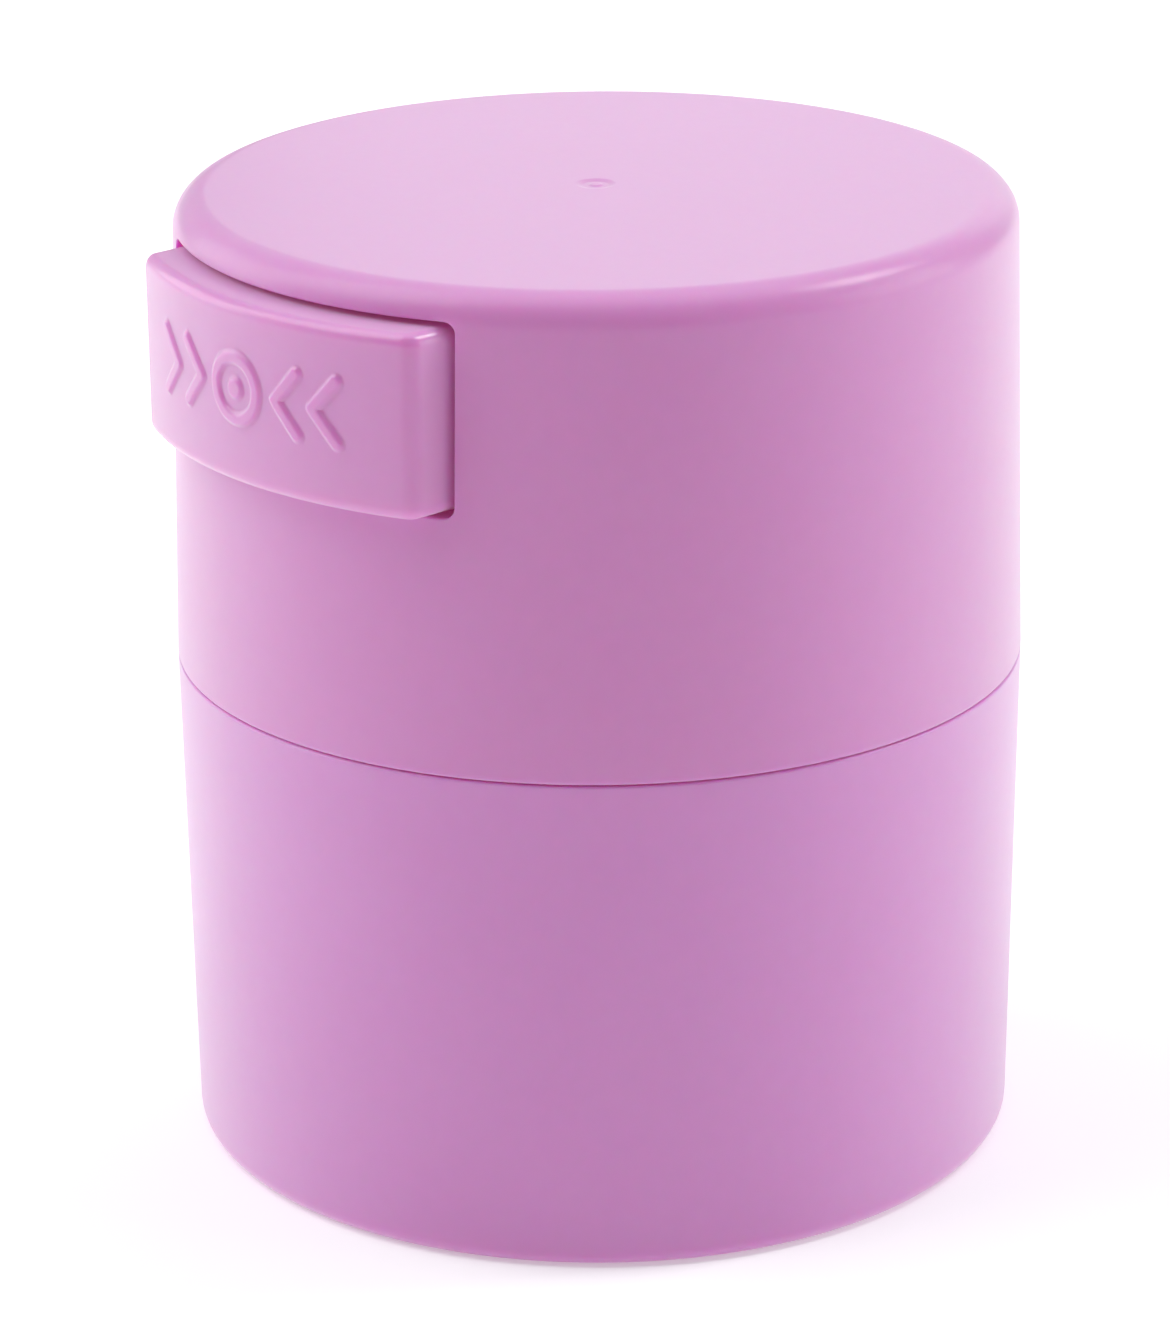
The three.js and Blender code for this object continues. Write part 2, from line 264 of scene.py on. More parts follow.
class Loop:
    """Matched loops round a rounded rectangle in front view, all with the same number of points, anticlockwise
    from the lower left: bottom side, corner, right side, corner, top side, corner, left side, corner."""

    def __init__(self, xs, zs, nc=8):
        self.xs, self.zs, self.nc = xs, zs, nc  # inner stations, as shares from -1 to 1

    def rounded(self, x0, z0, x1, z1, rx, rz=None):
        rz = rx if rz is None else rz
        mx, mz = (x0 + x1) / 2, (z0 + z1) / 2
        hx, hz = (x1 - x0) / 2 - rx, (z1 - z0) / 2 - rz

        def corner(cx, cz, a0):
            return [
                (cx + rx * math.cos(math.radians(a0 + 90 * i / self.nc)), cz + rz * math.sin(math.radians(a0 + 90 * i / self.nc)))
                for i in range(1, self.nc)
            ]

        pts = [(mx + hx * s, z0) for s in self.xs]
        pts += corner(mx + hx, mz - hz, -90)
        pts += [(x1, mz + hz * s) for s in self.zs]
        pts += corner(mx + hx, mz + hz, 0)
        pts += [(mx + hx * s, z1) for s in reversed(self.xs)]
        pts += corner(mx - hx, mz + hz, 90)
        pts += [(x0, mz + hz * s) for s in reversed(self.zs)]
        pts += corner(mx - hx, mz - hz, 180)
        return pts

    def square(self, x0, z0, x1, z1, kx, kz):
        """A sharp rectangle whose side stations lie at kx, kz (half widths of the straight runs) about its middle."""
        (ax, bx), (az, bz) = kx, kz  # where the straight stations run from and to
        half = self.nc // 2

        def leg(p, q, n):
            return [(p[0] + (q[0] - p[0]) * i / n, p[1] + (q[1] - p[1]) * i / n) for i in range(n + 1)]

        def run(a, b, stations):
            return [(a + b) / 2 + (b - a) / 2 * s for s in stations]

        X, Z = run(ax, bx, self.xs), run(az, bz, self.zs)
        pts = [(x, z0) for x in X]
        pts += (leg((bx, z0), (x1, z0), half) + leg((x1, z0), (x1, az), half)[1:])[1:-1]
        pts += [(x1, z) for z in Z]
        pts += (leg((x1, bz), (x1, z1), half) + leg((x1, z1), (bx, z1), half)[1:])[1:-1]
        pts += [(x, z1) for x in reversed(X)]
        pts += (leg((ax, z1), (x0, z1), half) + leg((x0, z1), (x0, bz), half)[1:])[1:-1]
        pts += [(x0, z) for z in reversed(Z)]
        pts += (leg((x0, az), (x0, z0), half) + leg((x0, z0), (ax, z0), half)[1:])[1:-1]
        return pts

    def grid_lines(self, x0, z0, x1, z1, kx, kz):
        """The x and z stations of square()'s sides, corner legs included."""
        (ax, bx), (az, bz) = kx, kz
        half = self.nc // 2
        X = [(ax + bx) / 2 + (bx - ax) / 2 * s for s in self.xs]
        Z = [(az + bz) / 2 + (bz - az) / 2 * s for s in self.zs]
        X = [x0 + (ax - x0) * i / half for i in range(half)] + X + [bx + (x1 - bx) * i / half for i in range(1, half + 1)]
        Z = [z0 + (az - z0) * i / half for i in range(half)] + Z + [bz + (z1 - bz) * i / half for i in range(1, half + 1)]
        return X, Z


def bridge(faces, a, b):
    n = len(a)
    for k in range(n):
        faces.append((a[k], a[(k + 1) % n], b[(k + 1) % n], b[k]))


# ---------------------------------------------------------------- pot shell
def pot_shell():
    slope = (R_SEAM - R_BASE) / SEAM_POT
    profile = rounded(
        [
            (0, RECESS),
            (26.0, RECESS, 0.25),
            (26.5, 0, 0.25),
            (R_BASE, 0, FOOT_R),
            (R_BASE + slope * SEAM_POT, SEAM_POT + 0.04, 0.18),
            (30.95, SEAM_POT + 0.04, 0.12),
            (30.95, 36.2, 0.2),
            (30.0, 36.2, 0.2),
            (29.5, 2.4, 1.8),
            (0, 2.4),
        ],
        n=8,
    )
    return turned("canister_pot_shell", profile)


# ---------------------------------------------------------------- inner cup with the neck
def inner_cup():
    profile = rounded(
        [
            (0, 2.7),
            (28.93, 2.7, 1.6),
            (29.4, 36.4, 0.2),
            (30.8, 36.4, 0.15),
            (30.8, 37.75, 0.15),
            (29.7, 37.75, 0.12),
            (NECK_R, NECK_TOP, 0.7),
            (BORE_TOP, NECK_TOP, 0.5),
            (BORE_FLOOR, CUP_FLOOR, 3.2),
            (0, CUP_FLOOR),
        ],
        n=8,
    )
    return turned("canister_inner_cup", profile)


# ---------------------------------------------------------------- cap shell
def outer_r(z):
    """The skirt's outer radius: a slight draft, then the rounding of the top edge."""
    start = H - RIM_R
    side = R_SEAM + (R_TOP - R_SEAM) * (min(z, start) - SEAM_CAP - 0.15) / (start - SEAM_CAP - 0.15)
    if z <= start:
        return side
    return R_TOP - RIM_R + math.sqrt(max(RIM_R * RIM_R - (z - start) ** 2, 0.0))


INNER = [(38.6, 30.2), (57.0, 29.77), (70.3, 29.45), (71.2, 28.55)]


def inner_r(z):
    for (z0, r0), (z1, r1) in zip(INNER, INNER[1:]):
        if z <= z1:
            return r0 + (r1 - r0) * (z - z0) / (z1 - z0)
    return INNER[-1][1]


def cap_shell():
    xs = [-1 + 2 * i / 44 for i in range(45)]
    zs = [-1 + 2 * i / 14 for i in range(15)]
    loop = Loop(xs, zs, 8)
    r = WIN_R
    kx, kz = (-WIN_X + r, WIN_X - r), (WIN_Z0 + r, WIN_Z1 - r)
    out_rect = (-WIN_X - 1.4, WIN_Z0 - 1.4, WIN_X + 1.4, WIN_Z1 + 0.42)
    in_rect = (-WIN_X - 1.4, WIN_Z0 - 1.4, WIN_X + 1.4, CAP_UNDER - 0.03)
    X, Z_out = loop.grid_lines(*out_rect, kx, kz)
    _, Z_in = loop.grid_lines(*in_rect, kx, kz)
    free = SEG - len(X)  # columns on the rest of the way round

    def angles(radius):
        rr = max(radius, 28.5)
        sector = [math.asin(x / rr) for x in X]
        a0, a1 = sector[-1], 2 * math.pi + sector[0]
        return sector + [a0 + (a1 - a0) * k / (free + 1) for k in range(1, free + 1)]

    above = rounded(
        [
            (0, H - 0.03),
            (0.36, H - 0.04, 0.2),
            (0.6, H - 0.115, 0.2),
            (0.98, H - 0.12, 0.3),
            (1.5, H, 0.6),
            (R_TOP - RIM_R - 0.08, H),
        ],
        n=12,
    )
    last_angle = math.degrees(math.asin((out_rect[3] - (H - RIM_R)) / RIM_R))
    above += arc(R_TOP - RIM_R, H - RIM_R, RIM_R, 90, last_angle, 22)
    outer_rows = [(outer_r(z), z) for z in reversed(Z_out)]
    below = rounded(
        [
            (outer_r(out_rect[1]), out_rect[1]),
            (outer_r(SEAM_CAP), SEAM_CAP - 0.04, 0.18),
            (30.5, SEAM_CAP - 0.04, 0.12),
            (30.2, SEAM_CAP + 0.6, 0.2),
            (inner_r(in_rect[1]), in_rect[1]),
        ],
        n=6,
    )
    inner_rows = [(inner_r(z), z) for z in Z_in]
    ceiling = rounded([(inner_r(in_rect[3]), in_rect[3]), (28.55, CAP_UNDER), (0, CAP_UNDER)])
    profile = above[:-1] + outer_rows + below[1:-1] + inner_rows + ceiling[1:]
    verts, faces, rings = revolve(profile, False, on_axis, SEG, angles)
    o0, i0 = len(above) - 1, len(above) - 1 + len(outer_rows) + len(below) - 2
    nrow, ncol = len(Z_out), len(X)

    # take the window's block out of both walls
    gone = set()
    for first in (o0, i0):
        for row in range(first, first + nrow - 1):
            a, b = rings[row], rings[row + 1]
            for k in range(ncol - 1):
                gone.add((a[k], b[k], b[k + 1], a[k + 1]))
    faces = [f for f in faces if f not in gone]

    def add(points):
        start = len(verts)
        verts.extend(points)
        return list(range(start, start + len(points)))

    def surface(x, z, radius_of, drop=0.0):
        rr = radius_of(z)
        return (x, -(math.sqrt(max(rr * rr - x * x, 0.0)) - drop), z)

    def block_loop(first, descending):
        """The block's edge in the wall's own vertices, in the loop's order."""
        row = (lambda j: first + nrow - 1 - j) if descending else (lambda j: first + j)
        ids = [rings[row(0)][k] for k in range(ncol)]
        ids += [rings[row(j)][ncol - 1] for j in range(1, nrow)]
        ids += [rings[row(nrow - 1)][k] for k in range(ncol - 2, -1, -1)]
        ids += [rings[row(j)][0] for j in range(nrow - 2, 0, -1)]
        half = loop.nc // 2
        return ids[half:] + ids[:half]

    outer_edge, inner_edge = block_loop(o0, True), block_loop(i0, False)
    f = 0.14  # rounding of the window's outer edge

    def window(offset):
        return loop.rounded(-WIN_X - offset, WIN_Z0 - offset, WIN_X + offset, WIN_Z1 + offset, r + offset)

    rings_out = []
    for u in (0, 22.5, 45, 67.5, 90):
        off, drop = f * (1 - math.cos(math.radians(u))), f * (1 - math.sin(math.radians(u)))
        rings_out.append(add([surface(x, z, outer_r, drop) for x, z in window(off)]))
    rings_out.append(add([surface(x, z, outer_r) for x, z in window(f + 0.05)]))
    rect = loop.square(*out_rect, kx, kz)
    last = window(f + 0.05)
    for share in (0.4, 0.7):
        mid = [(p[0] + (q[0] - p[0]) * share, p[1] + (q[1] - p[1]) * share) for p, q in zip(last, rect)]
        rings_out.append(add([surface(x, z, outer_r) for x, z in mid]))
    rings_out.append(outer_edge)
    # the reveal, straight back to the inner wall
    hole = window(0)
    deep = [surface(x, z, inner_r) for x, z in hole]
    front = [surface(x, z, outer_r, f) for x, z in hole]
    reveal = [add(deep)]
    for share in (0.04, 0.5, 0.96):
        reveal.append(add([(a[0], a[1] + (b[1] - a[1]) * share, a[2]) for a, b in zip(deep, front)]))
    rect_in = loop.square(*in_rect, kx, kz)
    mids = [(p[0] + (q[0] - p[0]) * 0.5, p[1] + (q[1] - p[1]) * 0.5) for p, q in zip(hole, rect_in)]
    chain = [inner_edge, add([surface(x, z, inner_r) for x, z in mids])] + reveal + rings_out
    for a, b in zip(chain, chain[1:]):
        bridge(faces, a, b)
    shell = finish_mesh("canister_cap_shell", verts, faces)

    # stop ribs over the liner, and the guides beside the window
    for deg in (58, 98, 139, 180, -139, -98, -58):
        rib = prism("rib", rounded_rect(-0.6, -29.75, 0.6, -28.2, 0.2, 4), LINER_TOP + 0.2, CAP_UNDER + 0.3)
        rib.data.transform(Matrix.Rotation(math.radians(deg), 4, "Z"))
        boolean(shell, rib, "UNION")
    for s in (-1, 1):
        x0, x1 = sorted((s * (WIN_X + 0.01), s * (WIN_X + 1.4)))
        guide = prism("guide", rounded_rect(x0, -25.75, x1, -22.0, 0.25, 4), LINER_TOP + 0.2, CAP_UNDER + 0.3)
        boolean(shell, guide, "UNION")
    return after_booleans(shell, 38.0)


# ---------------------------------------------------------------- cap liner
def cap_liner():
    profile = rounded(
        [
            (0, LINER_TOP),
            (29.5, LINER_TOP, 0.2),
            (29.5, LINER_UNDER, 0.15),
            (PLUG_R, LINER_UNDER, 0.12),
            (PLUG_R, 54.6, 0.12),
            (26.0, 54.6, 0.15),
            (26.0, 51.3, 0.15),
            (PLUG_R, 51.3, 0.12),
            (PLUG_R, PLUG_END, 0.5),
            (24.6, PLUG_END, 0.35),
            (24.6, LINER_UNDER, 0.6),
            (0, LINER_UNDER),
        ],
        n=5,
    )
    liner = turned("canister_cap_liner", profile)

    def plan(x, d0, d1, r):
        return rounded_rect(-x, -d1, x, -d0, r, 6)

    tower = prism("tower", plan(7.5, 9.5, WALL_OUT, 1.2), LINER_UNDER + 0.6, 70.0, bevel=0.5)
    boolean(liner, tower, "UNION")
    boss = turned(
        "boss",
        rounded([(0, 21.2), (3.2, 21.2), (3.2, 23.75, 0.25), (0, 23.75)]),
        seg=64,
        place=on_stem,
    )
    boolean(liner, boss, "UNION")
    hollow = prism("hollow", plan(6.0, 11.0, WALL_IN, 0.7), PLUG_END, 68.4, bevel=0.4)
    boolean(liner, hollow, "DIFFERENCE")
    port = turned("port", [(0, 19.5), (PORT_R, 19.5), (PORT_R, 25), (0, 25)], seg=64, place=on_stem)
    boolean(liner, port, "DIFFERENCE")
    return after_booleans(liner)


# ---------------------------------------------------------------- seal, stem, stopper, spring
def piston_seal():
    profile = rounded(
        [
            (26.1, 51.45, 0.2),
            (27.2, 51.45, 0.2),
            (27.72, 51.72, 0.16),
            (27.7, 52.18, 0.16),
            (27.1, 52.65, 0.25),
            (27.1, 53.25, 0.25),
            (27.7, 53.72, 0.16),
            (27.72, 54.18, 0.16),
            (27.2, 54.45, 0.2),
            (26.1, 54.45, 0.2),
        ],
        closed=True,
        n=5,
        hold=0.03,
    )
    return turned("canister_piston_seal", profile, closed=True)


def valve_stem():
    profile = rounded(
        [
            (0, 16.2),
            (2.2, 16.2, 0.3),
            (2.2, 17.2, 0.12),
            (STEM_R, 17.2, 0.1),
            (STEM_R, 30.7, 0.35),
            (0, 30.7),
        ],
        n=5,
    )
    return turned("canister_valve_stem", profile, seg=64, place=on_stem)


def vent_stopper():
    inner = STEM_R + 0.05
    profile = rounded(
        [
            (inner, 17.3, 0.1),
            (3.1, 17.3, 0.3),
            (3.9, 18.3, 0.4),
            (3.9, 19.75, 0.35),
            (3.55, 20.05, 0.2),
            (inner, 20.05, 0.1),
        ],
        closed=True,
        n=5,
        hold=0.03,
    )
    return turned("canister_vent_stopper", profile, closed=True, seg=96, place=on_stem)


def return_spring():
    d0, d1, turns, close = WALL_OUT + WIRE_R + 0.1, 31.4 - WIRE_R - 0.1, 7, 0.62
    pitch = (d1 - d0 - 2 * close) / (turns - 2)
    steps, sides = turns * 48, 14

    def smooth_depth(n):
        def raw(n):
            n = min(max(n, 0.0), float(turns))
            if n < 1:
                return d0 + close * n
            if n > turns - 1:
                return d1 - close * (turns - n)
            return d0 + close + pitch * (n - 1)

        return sum(raw(n + 0.05 * k) for k in range(-3, 4)) / 7

    def centre(n):
        a = 2 * math.pi * n
        return Vector((SPRING_R * math.cos(a), -smooth_depth(n), PORT_Z + SPRING_R * math.sin(a)))

    verts, faces = [], []
    for i in range(steps + 1):
        n = turns * i / steps
        c = centre(n)
        along = (centre(n + 0.002) - centre(n - 0.002)).normalized()
        out = Vector((math.cos(2 * math.pi * n), 0, math.sin(2 * math.pi * n)))
        side = along.cross(out).normalized()
        out = side.cross(along).normalized()
        w = WIRE_R * (0.86 if i in (0, steps) else 1.0)
        shift = along * (-0.06 if i == 0 else 0.06 if i == steps else 0.0)
        verts += [
            tuple(c + shift + out * (w * math.cos(2 * math.pi * k / sides)) + side * (w * math.sin(2 * math.pi * k / sides)))
            for k in range(sides)
        ]
    for i in range(steps):
        a, b = i * sides, (i + 1) * sides
        faces += [(a + k, a + (k + 1) % sides, b + (k + 1) % sides, b + k) for k in range(sides)]
    faces += [tuple(range(sides)), tuple(range(steps * sides, (steps + 1) * sides))]
    return finish_mesh("canister_return_spring", verts, faces, sharp=50)


# ---------------------------------------------------------------- press button
MARK_Z = 64.5


def seg_distance(px, pz, ax, az, bx, bz):
    vx, vz, wx, wz = bx - ax, bz - az, px - ax, pz - az
    t = max(0.0, min(1.0, (wx * vx + wz * vz) / (vx * vx + vz * vz)))
    return math.hypot(wx - t * vx, wz - t * vz)


def mark_distance(x, z):
    """Distance outside the raised mark, negative inside: a ring and dot between two pairs of arrowheads."""
    x, z = abs(x), z - MARK_Z
    rad = math.hypot(x, z)
    best = min(abs(rad - 2.25) - 0.5, rad - 0.82)
    for tip in (4.15, 7.55):  # arrowheads point at the middle
        d = min(
            seg_distance(x, z, tip, 0.0, tip + 2.0, 2.25),
            seg_distance(x, z, tip, 0.0, tip + 2.0, -2.25),
        ) - 0.5
        best = min(best, d)
    return best


def relief(x, z):
    """Height of the raised mark, with rounded shoulders."""
    if abs(x) > 11.2 or abs(z - MARK_Z) > 3.6:
        return 0.0
    t = max(0.0, min(1.0, (0.16 - mark_distance(x, z)) / 0.42))
    return 0.25 * t * t * (3 - 2 * t)


def press_button():
    fine = 0.1
    nx = int(2 * 10.6 / fine)
    inner_x = [-10.6 + 2 * 10.6 * i / nx for i in range(nx + 1)]
    nz = int(2 * 3.2 / fine)
    inner_z = [MARK_Z - 3.2 + 6.4 * i / nz for i in range(nz + 1)]
    fx, fz, rc = 0.9, 0.9, 1.0
    rect = (-BTN_X + fx + 0.75, BTN_Z0 + fz + 0.75, BTN_X - fx - 0.75, BTN_Z1 - fz - 0.75)
    # stations of the face's grid: fine over the mark, wider outside it
    side_x = [rect[0] + (inner_x[0] - rect[0]) * i / 10 for i in range(10)]
    X = side_x + inner_x + [-v for v in reversed(side_x)]
    low = [rect[1] + (inner_z[0] - rect[1]) * i / 5 for i in range(5)]
    high = [inner_z[-1] + (rect[3] - inner_z[-1]) * i / 5 for i in range(1, 6)]
    Z = low + inner_z + high
    nc = 8
    # corner legs: half the corner's steps lie on each side of the grid's corner
    leg_x, leg_z = 4, 4
    xs = X[leg_x:-leg_x]
    zs = Z[leg_z:-leg_z]

    def face_depth(x):
        return math.sqrt(BTN_R * BTN_R - x * x)

    verts, faces = [], []

    def add(points):
        start = len(verts)
        verts.extend(points)
        return list(range(start, start + len(points)))

    grid = {}
    for j, z in enumerate(Z):
        for i, x in enumerate(X):
            grid[i, j] = len(verts)
            h = relief(x, z)
            d = math.sqrt((BTN_R + h) ** 2 - x * x)
            verts.append((x, -d, z))
    for j in range(len(Z) - 1):
        for i in range(len(X) - 1):
            faces.append((grid[i, j], grid[i + 1, j], grid[i + 1, j + 1], grid[i, j + 1]))
    a, b = len(X) - 1, len(Z) - 1
    edge = [grid[i, 0] for i in range(a + 1)] + [grid[a, j] for j in range(1, b + 1)]
    edge += [grid[i, b] for i in range(a - 1, -1, -1)] + [grid[0, j] for j in range(b - 1, 0, -1)]
    edge = edge[leg_x:] + edge[:leg_x]  # start where the bottom side's straight stations start

    def outline(ax, az, rx, rz):
        """Same number of points as the grid's edge, round a rounded rectangle inset by ax and az."""
        x0, z0, x1, z1 = -BTN_X + ax, BTN_Z0 + az, BTN_X - ax, BTN_Z1 - az
        sx = (x1 - rx) / xs[-1]
        mz, hz = (z0 + z1) / 2, (z1 - z0) / 2 - rz
        gz, gh = (zs[0] + zs[-1]) / 2, (zs[-1] - zs[0]) / 2

        def corner(cx, cz, a0):
            return [
                (cx + rx * math.cos(math.radians(a0 + 90 * i / nc)), cz + rz * math.sin(math.radians(a0 + 90 * i / nc)))
                for i in range(1, nc)
            ]

        pts = [(x * sx, z0) for x in xs]
        pts += corner(x1 - rx, z0 + rz, -90)
        pts += [(x1, mz + hz * (z - gz) / gh) for z in zs]
        pts += corner(x1 - rx, z1 - rz, 0)
        pts += [(x * sx, z1) for x in reversed(xs)]
        pts += corner(x0 + rx, z1 - rz, 90)
        pts += [(x0, mz + hz * (z - gz) / gh) for z in reversed(zs)]
        pts += corner(x0 + rx, z0 + rz, 180)
        return pts

    chain = [edge]
    # from the grid to the start of the rounding
    start = outline(fx, fz, rc - fx, rc - fz)
    grid_xz = [(verts[k][0], verts[k][2]) for k in edge]
    for share in (0.35, 0.7, 0.93, 1.0):
        pts = [(p[0] + (q[0] - p[0]) * share, p[1] + (q[1] - p[1]) * share) for p, q in zip(grid_xz, start)]
        chain.append(add([(x, -face_depth(x), z) for x, z in pts]))
    # the rounding itself
    steps = 9
    for k in range(1, steps + 1):
        u = math.radians(90 * (1 - k / steps))
        ix, iz = fx * (1 - math.cos(u)), fz * (1 - math.cos(u))
        pts = outline(ix, iz, rc - ix, rc - iz)
        ring = []
        for x, z in pts:
            ring.append((x, -(face_depth(x) - fz * (1 - math.sin(u))), z))
        chain.append(add(ring))
    # side walls back to the rear rim
    front = [verts[k] for k in chain[-1]]
    wall = outline(0, 0, rc, rc)
    for share in (0.02, 0.35, 0.7):
        chain.append(add([(x, p[1] + (-(BTN_BACK + 0.15) - p[1]) * share, z) for (x, z), p in zip(wall, front)]))
    chain.append(add([(x, -(BTN_BACK + 0.15), z) for x, z in wall]))
    w = 1.6
    chain.append(add([(x, -BTN_BACK, z) for x, z in outline(0.12, 0.12, rc - 0.12, rc - 0.12)]))
    cavity = outline(w, w, 0.5, 0.5)
    chain.append(add([(x, -BTN_BACK, z) for x, z in outline(w - 0.12, w - 0.12, 0.6, 0.6)]))
    chain.append(add([(x, -(BTN_BACK + 0.15), z) for x, z in cavity]))
    roof = BTN_R - 2.0

    def roof_depth(x):
        return math.sqrt(roof * roof - x * x)

    for share in (0.33, 0.66):
        chain.append(add([(x, -(BTN_BACK + 0.15 + (roof_depth(x) - BTN_BACK - 0.15) * share), z) for x, z in cavity]))
    chain.append(add([(x, -roof_depth(x), z) for x, z in cavity]))
    for p, q in zip(chain, chain[1:]):
        bridge(faces, p, q)

    # the hollow's roof, with the spring pad and the stem boss standing on it
    rim = chain[-1]
    n_round = 64

    def ring_on(radius, depth):
        pts = [on_stem(radius, 0, 2 * math.pi * k / n_round) for k in range(n_round)]
        if depth is None:
            return add([(x, -roof_depth(x), z) for x, _, z in pts])
        return add([(x, -depth, z) for x, _, z in pts])

    pad = ring_on(4.8, None)
    flat = [(verts[k][0], verts[k][2]) for k in rim] + [(verts[k][0], verts[k][2]) for k in pad]
    extra = []
    for i in range(-7, 8):
        for j in range(-2, 3):
            x, z = i * 1.8, PORT_Z + j * 1.9
            if abs(x) < 13.0 and math.hypot(x, z - PORT_Z) > 5.6:
                extra.append((x, z))
    n_rim, n_pad = len(rim), len(pad)
    loops = [(k, (k + 1) % n_rim) for k in range(n_rim)]
    loops += [(n_rim + k, n_rim + (k + 1) % n_pad) for k in range(n_pad)]
    points = [Vector(p) for p in flat + extra]
    got, _, tris, _, _, _ = delaunay_2d_cdt(points, loops, [], 0, 1e-6)
    ids = rim + pad + add([(p[0], -roof_depth(p[0]), p[1]) for p in extra])
    assert len(got) == len(points)

    def inside(x, z):
        return abs(x) < BTN_X - w and BTN_Z0 + w < z < BTN_Z1 - w and math.hypot(x, z - PORT_Z) > 4.8 * math.cos(math.pi / n_round)

    for t in tris:
        cx = sum(points[i].x for i in t) / 3
        cz = sum(points[i].y for i in t) / 3
        corner_x, corner_z = abs(cx) - (BTN_X - w - 0.5), abs(cz - (BTN_Z0 + BTN_Z1) / 2) - ((BTN_Z1 - BTN_Z0) / 2 - w - 0.5)
        if corner_x > 0 and corner_z > 0 and math.hypot(corner_x, corner_z) > 0.5:
            continue
        if inside(cx, cz):
            faces.append(tuple(ids[i] for i in t))
    stack = [pad, ring_on(4.8, 31.5), ring_on(4.7, 31.4), ring_on(2.95, 31.4), ring_on(2.8, 31.25)]
    stack += [ring_on(2.8, 26.8), ring_on(2.6, 26.6), ring_on(STEM_R + 0.2, 26.6), ring_on(STEM_R + 0.06, 26.75)]
    stack += [ring_on(STEM_R + 0.06, 31.0)]
    for p, q in zip(stack, stack[1:]):
        bridge(faces, p, q)
    faces.append(tuple(stack[-1]))
    return finish_mesh("canister_press_button", verts, faces, sharp=38, weld=1e-4)


# ---------------------------------------------------------------- materials
def new_material(name):
    mat = bpy.data.materials.new(name)
    mat.use_nodes = True
    tree = mat.node_tree
    tree.nodes.clear()
    out = tree.nodes.new("ShaderNodeOutputMaterial")
    bsdf = tree.nodes.new("ShaderNodeBsdfPrincipled")
    tree.links.new(bsdf.outputs["BSDF"], out.inputs["Surface"])
    return mat, tree, bsdf


def noise(tree, coord, scale, detail=2.0, rough=0.5):
    node = tree.nodes.new("ShaderNodeTexNoise")
    node.noise_dimensions = "3D"
    node.inputs["Scale"].default_value = scale
    node.inputs["Detail"].default_value = detail
    node.inputs["Roughness"].default_value = rough
    tree.links.new(coord, node.inputs["Vector"])
    return node.outputs["Fac"]


def remap(tree, value, low, high, from_low=0.25, from_high=0.75):
    node = tree.nodes.new("ShaderNodeMapRange")
    node.inputs["From Min"].default_value = from_low
    node.inputs["From Max"].default_value = from_high
    node.inputs["To Min"].default_value = low
    node.inputs["To Max"].default_value = high
    tree.links.new(value, node.inputs["Value"])
    return node.outputs["Result"]


def math_node(tree, op, a, b=None):
    node = tree.nodes.new("ShaderNodeMath")
    node.operation = op
    for socket, value in zip(node.inputs, (a, b)):
        if value is None:
            continue
        if isinstance(value, (int, float)):
            socket.default_value = value
        else:
            tree.links.new(value, socket)
    return node.outputs[0]


def mix_colour(tree, fac, a, b, blend="MIX"):
    node = tree.nodes.new("ShaderNodeMix")
    node.data_type = "RGBA"
    node.blend_type = blend
    for name, value in (("Factor", fac), ("A", a), ("B", b)):
        socket = [s for s in node.inputs if s.name == name and s.type == ("VALUE" if name == "Factor" else "RGBA")][0]
        if isinstance(value, (tuple, list)):
            socket.default_value = (*value, 1.0) if len(value) == 3 else value
        elif isinstance(value, float):
            socket.default_value = value
        else:
            tree.links.new(value, socket)
    return [s for s in node.outputs if s.type == "RGBA"][0]


def object_coord(tree):
    node = tree.nodes.new("ShaderNodeTexCoord")
    return node.outputs["Object"]


def bump(tree, bsdf, layers):
    """layers: (height socket, strength, distance in metres)"""
    normal = None
    for height, strength, distance in layers:
        node = tree.nodes.new("ShaderNodeBump")
        node.inputs["Strength"].default_value = strength
        node.inputs["Distance"].default_value = distance
        tree.links.new(height, node.inputs["Height"])
        if normal is not None:
            tree.links.new(normal, node.inputs["Normal"])
        normal = node.outputs["Normal"]
    tree.links.new(normal, bsdf.inputs["Normal"])


PINK = (0.560, 0.226, 0.545)
PINK_PAINTED_WARM_LIGHT = (0.560, 0.217, 0.512)  # painted warm light: the same pink made a shade rosier for the cap, liner and button, standing in for warmer light falling on the upper part
